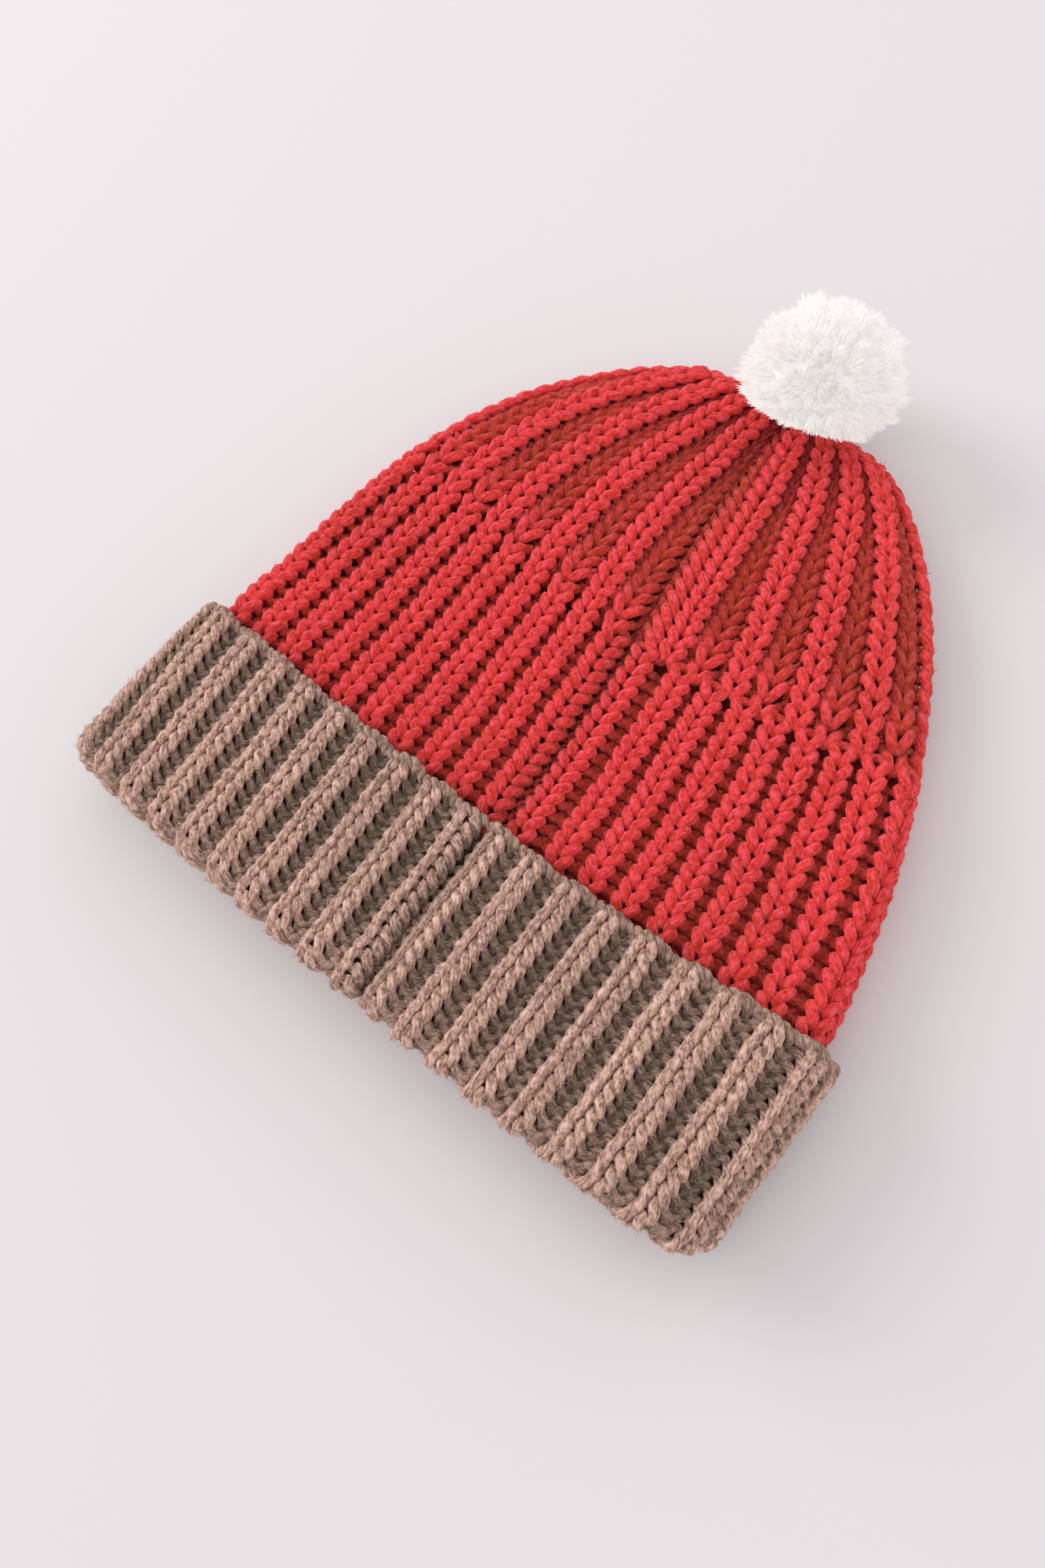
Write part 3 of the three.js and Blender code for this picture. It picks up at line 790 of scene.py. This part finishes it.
def pom_tufts(name):
    """The cut yarns of the pom, each fanned out into fibres at its end."""
    rng = np.random.default_rng(31)
    index = np.arange(TUFTS) + 0.5
    lift = 1 - 2 * index / TUFTS
    turn = index * math.pi * (3 - math.sqrt(5))
    flat = np.sqrt(1 - lift**2)
    aim = np.stack([flat * np.cos(turn), flat * np.sin(turn), lift], -1)
    aim = unit(aim + rng.normal(scale=TUFT_SCATTER, size=aim.shape))
    swell = 0.9 * np.sin(3 * aim[:, 0] + 1) * np.cos(2.5 * aim[:, 1]) + 0.6 * np.sin(5 * aim[:, 2])
    reach = POM_RADIUS + swell + rng.normal(scale=0.7, size=TUFTS)
    side = unit(np.cross(aim, [0.3, 0.2, 0.93]))
    other = np.cross(aim, side)
    spin = rng.uniform(0, 2 * math.pi, (TUFTS, FIBRES))[..., None]
    fan = np.sqrt(rng.uniform(0.02, 1, (TUFTS, FIBRES))) * FAN_RADIUS
    sideways = (np.cos(spin) * side[:, None] + np.sin(spin) * other[:, None]) * fan[..., None]
    bend = rng.normal(scale=0.7, size=(TUFTS, 1, 3))
    stray = rng.normal(scale=0.35, size=(TUFTS, FIBRES, 3))
    ends = reach[:, None] - FAN_DROP * fan**2 + rng.normal(scale=0.45, size=fan.shape)
    t = np.array([0, 0.6, 1.0])[:, None]
    paths = POM_CENTRE + aim[:, None, None] * lerp(FIBRE_START, ends[..., None, None], t)
    paths += sideways[:, :, None] * (0.3 + 0.7 * t**1.6)
    paths += (bend + stray)[:, :, None] * t**2
    paths = keep_off_crown(paths.reshape(-1, len(t), 3))
    half = FIBRE_HALF_WIDTHS[:, None] * unit(rng.normal(size=(len(paths), 1, 3)))
    return ribbons(name, in_frame(np.stack([paths - half, paths + half], 2)))


def pom_heart(name):
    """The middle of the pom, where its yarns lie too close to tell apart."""
    turns = 96
    lifts = 60
    turn = np.linspace(0, 2 * math.pi, turns, endpoint=False)[None, :]
    lift = np.linspace(0.02, math.pi - 0.02, lifts)[:, None]
    ball = [np.sin(lift) * np.cos(turn), np.sin(lift) * np.sin(turn), np.cos(lift)]
    aim = np.stack(np.broadcast_arrays(*ball), -1)
    knobs = np.sin(9 * aim[..., 0] + 2) * np.sin(8 * aim[..., 1]) + np.sin(10 * aim[..., 2] + 1)
    verts = POM_CENTRE + aim * (HEART_RADIUS + HEART_KNOBS * knobs)[..., None]
    verts = in_frame(keep_off_crown(verts))
    i = np.arange(lifts - 1)[:, None]
    j = np.arange(turns)[None, :]
    j1 = (j + 1) % turns
    corners = [i * turns + j, (i + 1) * turns + j, (i + 1) * turns + j1, i * turns + j1]
    faces = np.stack(np.broadcast_arrays(*corners), -1).reshape(-1, 4)
    return quad_mesh(name, verts.reshape(-1, 3), faces)


def keep_off_crown(points):
    """Bends up the fibres that would run into the crown's end at any lift and swing of the pom."""
    bent = points.copy()
    swing = math.radians(POM_SWING)
    for lift in np.linspace(0, POM_LIFT, 5):
        up = math.sin(math.radians(lift))
        level = math.cos(math.radians(lift))
        away = bent - PIVOT
        out = away[..., 1] * level - away[..., 2] * up
        high = away[..., 1] * up + away[..., 2] * level
        turned = out * math.cos(swing) - np.abs(away[..., 0]) * math.sin(swing)
        behind = smooth(-np.minimum(turned, out), -8, 1)
        bent[..., 2] += behind * np.maximum(CROWN_CLEARANCE - high, 0) / level
    return bent


# ---------------------------------------------------------------- materials

PLY_LAY = 0.009  # metres of yarn in which its plies turn once
PLIES = 3
FIBRE_GRAIN = 330
PATCH_GRAIN = 650
TONE_RANGE = (0.76, 1.07)
# Fabric heights between which the painted shade of the hollows fades from full to none, on the yarn and
# on its fibres.
HEIGHT_RANGE = (-0.9, 0.9)
FUZZ_HEIGHT_RANGE = (-0.9, 0.7)
MOTTLE_RANGE = (0.3, 0.65)


class Graph:
    """A new material and the kinds of node that the yarns and fibres are coloured with."""

    def __init__(self, name):
        self.material = bpy.data.materials.new(name)
        self.material.use_nodes = True
        self.nodes = self.material.node_tree.nodes
        self.links = self.material.node_tree.links
        self.shader = self.nodes["Principled BSDF"]

    def put(self, value, socket):
        """Leads another node's output to a socket, or sets the socket to a plain value."""
        if isinstance(value, bpy.types.NodeSocket):
            self.links.new(value, socket)
        else:
            socket.default_value = value

    def node(self, kind, *values, operation=None):
        node = self.nodes.new(kind)
        if operation:
            node.operation = operation
        for value, socket in zip(values, node.inputs):
            self.put(value, socket)
        return node

    def math(self, operation, *values):
        return self.node("ShaderNodeMath", *values, operation=operation).outputs[0]

    def noise(self, scale, place):
        node = self.node("ShaderNodeTexNoise", place)
        node.inputs["Scale"].default_value = scale
        node.inputs["Detail"].default_value = 3
        return node.outputs["Fac"]

    def object_place(self):
        return self.node("ShaderNodeTexCoord").outputs["Object"]

    def fabric_height(self):
        node = self.node("ShaderNodeAttribute")
        node.attribute_name = "height"
        return node.outputs["Fac"]

    def share(self, value, low, high, least=0):
        """least below low, 1 above high, and straight between."""
        return self.node("ShaderNodeMapRange", value, low, high, least).outputs["Result"]

    def colour(self, value):
        self.links.new(value, self.shader.inputs["Base Color"])

    def finish(self, **settings):
        """Sets the shader's own sockets, which are the same all over the surface."""
        for name, value in settings.items():
            self.shader.inputs[name.replace("_", " ")].default_value = value
        return self.material


def yarn_material(name, light, front, dark, hollow_shade):
    """Plied wool: fibres from light over front to dark, the light end tinted pink as painted sheen and
    the dark end browner as painted shade, and darker still as painted shade where a yarn lies low in
    the fabric.
    """
    graph = Graph(name)
    uv = graph.node("ShaderNodeUVMap")
    uv.uv_map = "yarn"
    split = graph.node("ShaderNodeSeparateXYZ", uv.outputs[0])
    along = split.outputs[0]
    around = split.outputs[1]
    twist = graph.math("MULTIPLY_ADD", around, PLIES, graph.math("MULTIPLY", along, 1 / PLY_LAY))
    ply = graph.math("ABSOLUTE", graph.math("SINE", graph.math("MULTIPLY", twist, math.pi)))
    along_fibres = graph.math("MULTIPLY", along, FIBRE_GRAIN)
    across_fibres = graph.math("MULTIPLY", twist, 2.4)
    place = graph.node("ShaderNodeCombineXYZ", along_fibres, across_fibres).outputs[0]
    fibres = graph.noise(1.6, place)
    patches = graph.noise(PATCH_GRAIN, graph.object_place())
    grain = graph.math("MULTIPLY_ADD", patches, 0.7, fibres)
    # The ply term also makes the grooves between the plies darker: painted shade in them.
    grain = graph.math("MULTIPLY_ADD", ply, 0.12, grain)
    # The light end of this ramp is tinted pink as painted sheen and its dark end browner as painted
    # shade; the fibre streaks and patches that choose the tone are the wool's own random grain.
    wool = graph.node("ShaderNodeValToRGB", graph.share(grain, *TONE_RANGE))
    wool.color_ramp.elements[0].color = (*dark, 1)
    wool.color_ramp.elements[1].color = (*light, 1)
    wool.color_ramp.elements.new(0.5).color = (*front, 1)
    # Painted shade: the colour is brought down towards the darker colour given for hollows where the
    # yarn lies low in the fabric.
    hollow_shading = graph.nodes.new("ShaderNodeMix")
    hollow_shading.data_type = "RGBA"
    hollow_shading.inputs["A"].default_value = (*[d / f for d, f in zip(hollow_shade, front)], 1)
    hollow_shading.inputs["B"].default_value = (1, 1, 1, 1)
    graph.put(graph.share(graph.fabric_height(), *HEIGHT_RANGE), hollow_shading.inputs["Factor"])
    tones = (wool.outputs["Color"], hollow_shading.outputs["Result"])
    graph.colour(graph.node("ShaderNodeVectorMath", *tones, operation="MULTIPLY").outputs[0])
    bump = graph.nodes.new("ShaderNodeBump")
    bump.inputs["Strength"].default_value = 1
    bump.inputs["Distance"].default_value = 0.001
    graph.put(grain, bump.inputs["Height"])
    graph.put(bump.outputs[0], graph.shader.inputs["Normal"])
    return graph.finish(
        Roughness=0.95,
        Specular_IOR_Level=0.15,
        Sheen_Weight=0.3,
        Sheen_Roughness=0.5,
        Sheen_Tint=(*[min(1, 0.4 + c) for c in front], 1),
    )


def fibre_material(name, colour, scale, low, hollow_shade=1, **settings):
    """Fine fibres, mottled from low to 1 times their colour, and darkened to a given share of it as
    painted shade where they stand low in the fabric's gaps.
    """
    graph = Graph(name)
    mottle = graph.noise(scale, graph.object_place())
    mottle = graph.share(mottle, *MOTTLE_RANGE, low)
    # Painted shade in the fabric's gaps.
    hollow_shading = graph.share(graph.fabric_height(), *FUZZ_HEIGHT_RANGE, hollow_shade)
    toned = graph.node("ShaderNodeVectorMath", colour, operation="SCALE")
    graph.put(graph.math("MULTIPLY", mottle, hollow_shading), toned.inputs["Scale"])
    graph.colour(toned.outputs[0])
    return graph.finish(Roughness=1, Specular_IOR_Level=0, **settings)


# Each yarn's light colour stands for a painted sheen, its dark colour for a painted shaded tone, and
# its last colour is the painted shade of the fabric's hollows.
RED = yarn_material(
    "red_yarn_looped",
    light=(1.0, 0.105, 0.138),
    front=(0.95, 0.056, 0.055),
    dark=(0.60, 0.043, 0.016),
    hollow_shade=(0.50, 0.044, 0.018),
)
TAUPE = yarn_material(
    "taupe_yarn_looped",
    light=(0.93, 0.61, 0.505),
    front=(0.62, 0.374, 0.285),
    dark=(0.275, 0.168, 0.124),
    hollow_shade=(0.205, 0.135, 0.095),
)
CREAM_TIE = yarn_material(
    "cream_yarn_twisted",
    light=(0.97, 0.95, 0.92),
    front=(0.92, 0.90, 0.86),
    dark=(0.80, 0.77, 0.73),
    hollow_shade=(0.85, 0.82, 0.78),
)
# Loose fibres are coloured lighter and pinker than their yarn, a painted sheen, and darkened in the
# fabric's gaps by the last number, a painted shade.
RED_FIBRE = fibre_material("red_fibres", (1.0, 0.085, 0.13), 900, 0.45, hollow_shade=0.45)
TAUPE_FIBRE = fibre_material("taupe_fibres", (0.88, 0.60, 0.51), 900, 0.3, hollow_shade=0.3)
# The faint glow stands for the light that passes on from fibre to fibre inside a white pom.
CREAM = fibre_material(
    "cream_fibres",
    (0.95, 0.937, 0.925),
    260,
    0.95,
    Emission_Color=(1, 0.97, 0.95, 1),
    Emission_Strength=0.13,
)


def dress(obj, material, slot, body, *nodes):
    """Gives a piece its material, the body it rides on and the CAD nodes that it stands for."""
    obj.data.materials.append(material)
    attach(obj, body)
    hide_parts(*nodes)


# ---------------------------------------------------------------- camera, light and floor

CAMERA_PLACE = (0.1093, -0.1379, 0.3262)
CAMERA_RIGHT = (0.7692, 0.6310, -0.1008)
CAMERA_AHEAD = (-0.3213, 0.2457, -0.9145)
SENSOR_WIDTH = 36
FOCAL_LENGTH = 28.54
FLOOR_HALF_SIZE = 12.0
FLOOR_COLOUR = (0.785, 0.760, 0.769, 1)
WORLD_COLOUR = (1, 0.985, 0.99, 1)
WORLD_STRENGTH = 0.87
WINDOW_PLACE = (-2.2, -0.28, 1.18)
WINDOW_COLOUR = (1, 0.985, 0.97)
WINDOW_SIZE = 1.5
WINDOW_POWER = 25


def make_camera():
    camera = bpy.data.objects.new("camera", bpy.data.cameras.new("camera"))
    bpy.context.scene.collection.objects.link(camera)
    right = Vector(CAMERA_RIGHT).normalized()
    ahead = Vector(CAMERA_AHEAD).normalized()
    up = right.cross(ahead).normalized()
    right = ahead.cross(up)
    turn = Matrix((right, up, -ahead)).transposed()
    camera.matrix_world = Matrix.Translation(CAMERA_PLACE) @ turn.to_4x4()
    camera.data.sensor_width = SENSOR_WIDTH
    camera.data.lens = FOCAL_LENGTH
    camera.data.clip_start = 0.01
    bpy.context.scene.camera = camera


def make_floor():
    size = FLOOR_HALF_SIZE
    mesh = bpy.data.meshes.new("floor")
    corners = [(-size, -size, 0), (size, -size, 0), (size, size, 0), (-size, size, 0)]
    mesh.from_pydata(corners, [], [(0, 1, 2, 3)])
    floor = bpy.data.objects.new("floor", mesh)
    bpy.context.scene.collection.objects.link(floor)
    paper = Graph("floor_paper")
    mesh.materials.append(
        paper.finish(Base_Color=FLOOR_COLOUR, Roughness=0.9, Specular_IOR_Level=0.1)
    )


def make_light():
    """A plain bright room with one large soft window beside the hat."""
    scene = bpy.context.scene
    scene.world = bpy.data.worlds.new("studio")
    scene.world.use_nodes = True
    sky = scene.world.node_tree.nodes["Background"]
    sky.inputs["Color"].default_value = WORLD_COLOUR
    sky.inputs["Strength"].default_value = WORLD_STRENGTH
    data = bpy.data.lights.new("window", "AREA")
    data.shape = "DISK"
    data.size = WINDOW_SIZE
    data.energy = WINDOW_POWER
    data.color = WINDOW_COLOUR
    window = bpy.data.objects.new("window", data)
    scene.collection.objects.link(window)
    window.location = WINDOW_PLACE
    window.rotation_euler = (-Vector(WINDOW_PLACE)).to_track_quat("-Z", "Y").to_euler()
    scene.view_settings.view_transform = "Standard"


# ---------------------------------------------------------------- the pieces

RED_LOOKS = (RED, RED_FIBRE)
TAUPE_LOOKS = (TAUPE, TAUPE_FIBRE)
CROWN_END = LOWER_ROWS + UPPER_ROWS


def knit_stretches(stretches, fabric, gauge, seed, raised, looks, slot, nodes):
    """Knits each stretch of a fabric, given as {name: (first row, row after the last)}."""
    for name, rows in stretches.items():
        pieces = knit(name, fabric, range(*rows), gauge, seed, raised)
        for piece, look in zip(pieces, looks):
            dress(piece, look, slot, "hat", *nodes)


make_camera()
make_floor()
make_light()

crown_surface, crown_marks = crown_fabric()
crown = Fabric(crown_surface, crown_marks, 1)
crown.columns(LOWER_KINDS, lower_widths, LOWER_LEANS)
stretches = {"crown_ribs_lower": (1, 9), "crown_ribs_middle": (9, LOWER_ROWS)}
nodes = ["crown_ribbed_section"]
knit_stretches(stretches, crown, CROWN_GAUGE, 11, lower_relief, RED_LOOKS, "red_yarn", nodes)

crown_top = Fabric(crown_surface, crown_marks, 1)
crown_top.columns(UPPER_KINDS, upper_widths, UPPER_LEANS, pulls=UPPER_PULLS)
stretches = {"crown_ribs_shoulder": (LOWER_ROWS, 28), "crown_ribs_tip": (28, CROWN_END)}
nodes = ["crown_shaped_section"]
knit_stretches(stretches, crown_top, CROWN_TOP_GAUGE, 12, upper_relief, RED_LOOKS, "red_yarn", nodes)

brim = Fabric(*brim_fabric(), -1)
brim.columns(LOWER_KINDS, brim_widths, BRIM_LEANS, tilts=BRIM_TILTS)
stretches = {
    "brim_cuff_ribs": (0, 11),
    "brim_fold_ribs": (11, 20),
    "brim_inner_ribs": (20, BRIM_ROWS),
}
nodes = ["turned_up_cuff", "brim_inner_layer"]
knit_stretches(stretches, brim, BRIM_GAUGE, 13, brim_relief, TAUPE_LOOKS, "taupe_yarn", nodes)

dress(cast_on("cast_on_cord", brim), TAUPE, "taupe_yarn", "hat", "cast_on_edge")
joins = seam_stitches("crown_seam_stitches", crown_point, np.linspace(50, 206, 520), SEAM_DEPTH)
dress(joins, RED, "red_yarn", "hat", "crown_seam_yarn")
inset = FABRIC * SEAM_DEPTH
joins = seam_stitches("brim_seam_stitches", cuff_point, np.linspace(3, 53, 170), inset)
dress(joins, TAUPE, "taupe_yarn", "hat", "brim_seam_yarn")
dress(pom_tufts("pom_tufts"), CREAM, "cream_yarn", "pom", "pom_yarn")
dress(pom_heart("pom_heart"), CREAM, "cream_yarn", "pom", "pom_yarn")
make_ties()
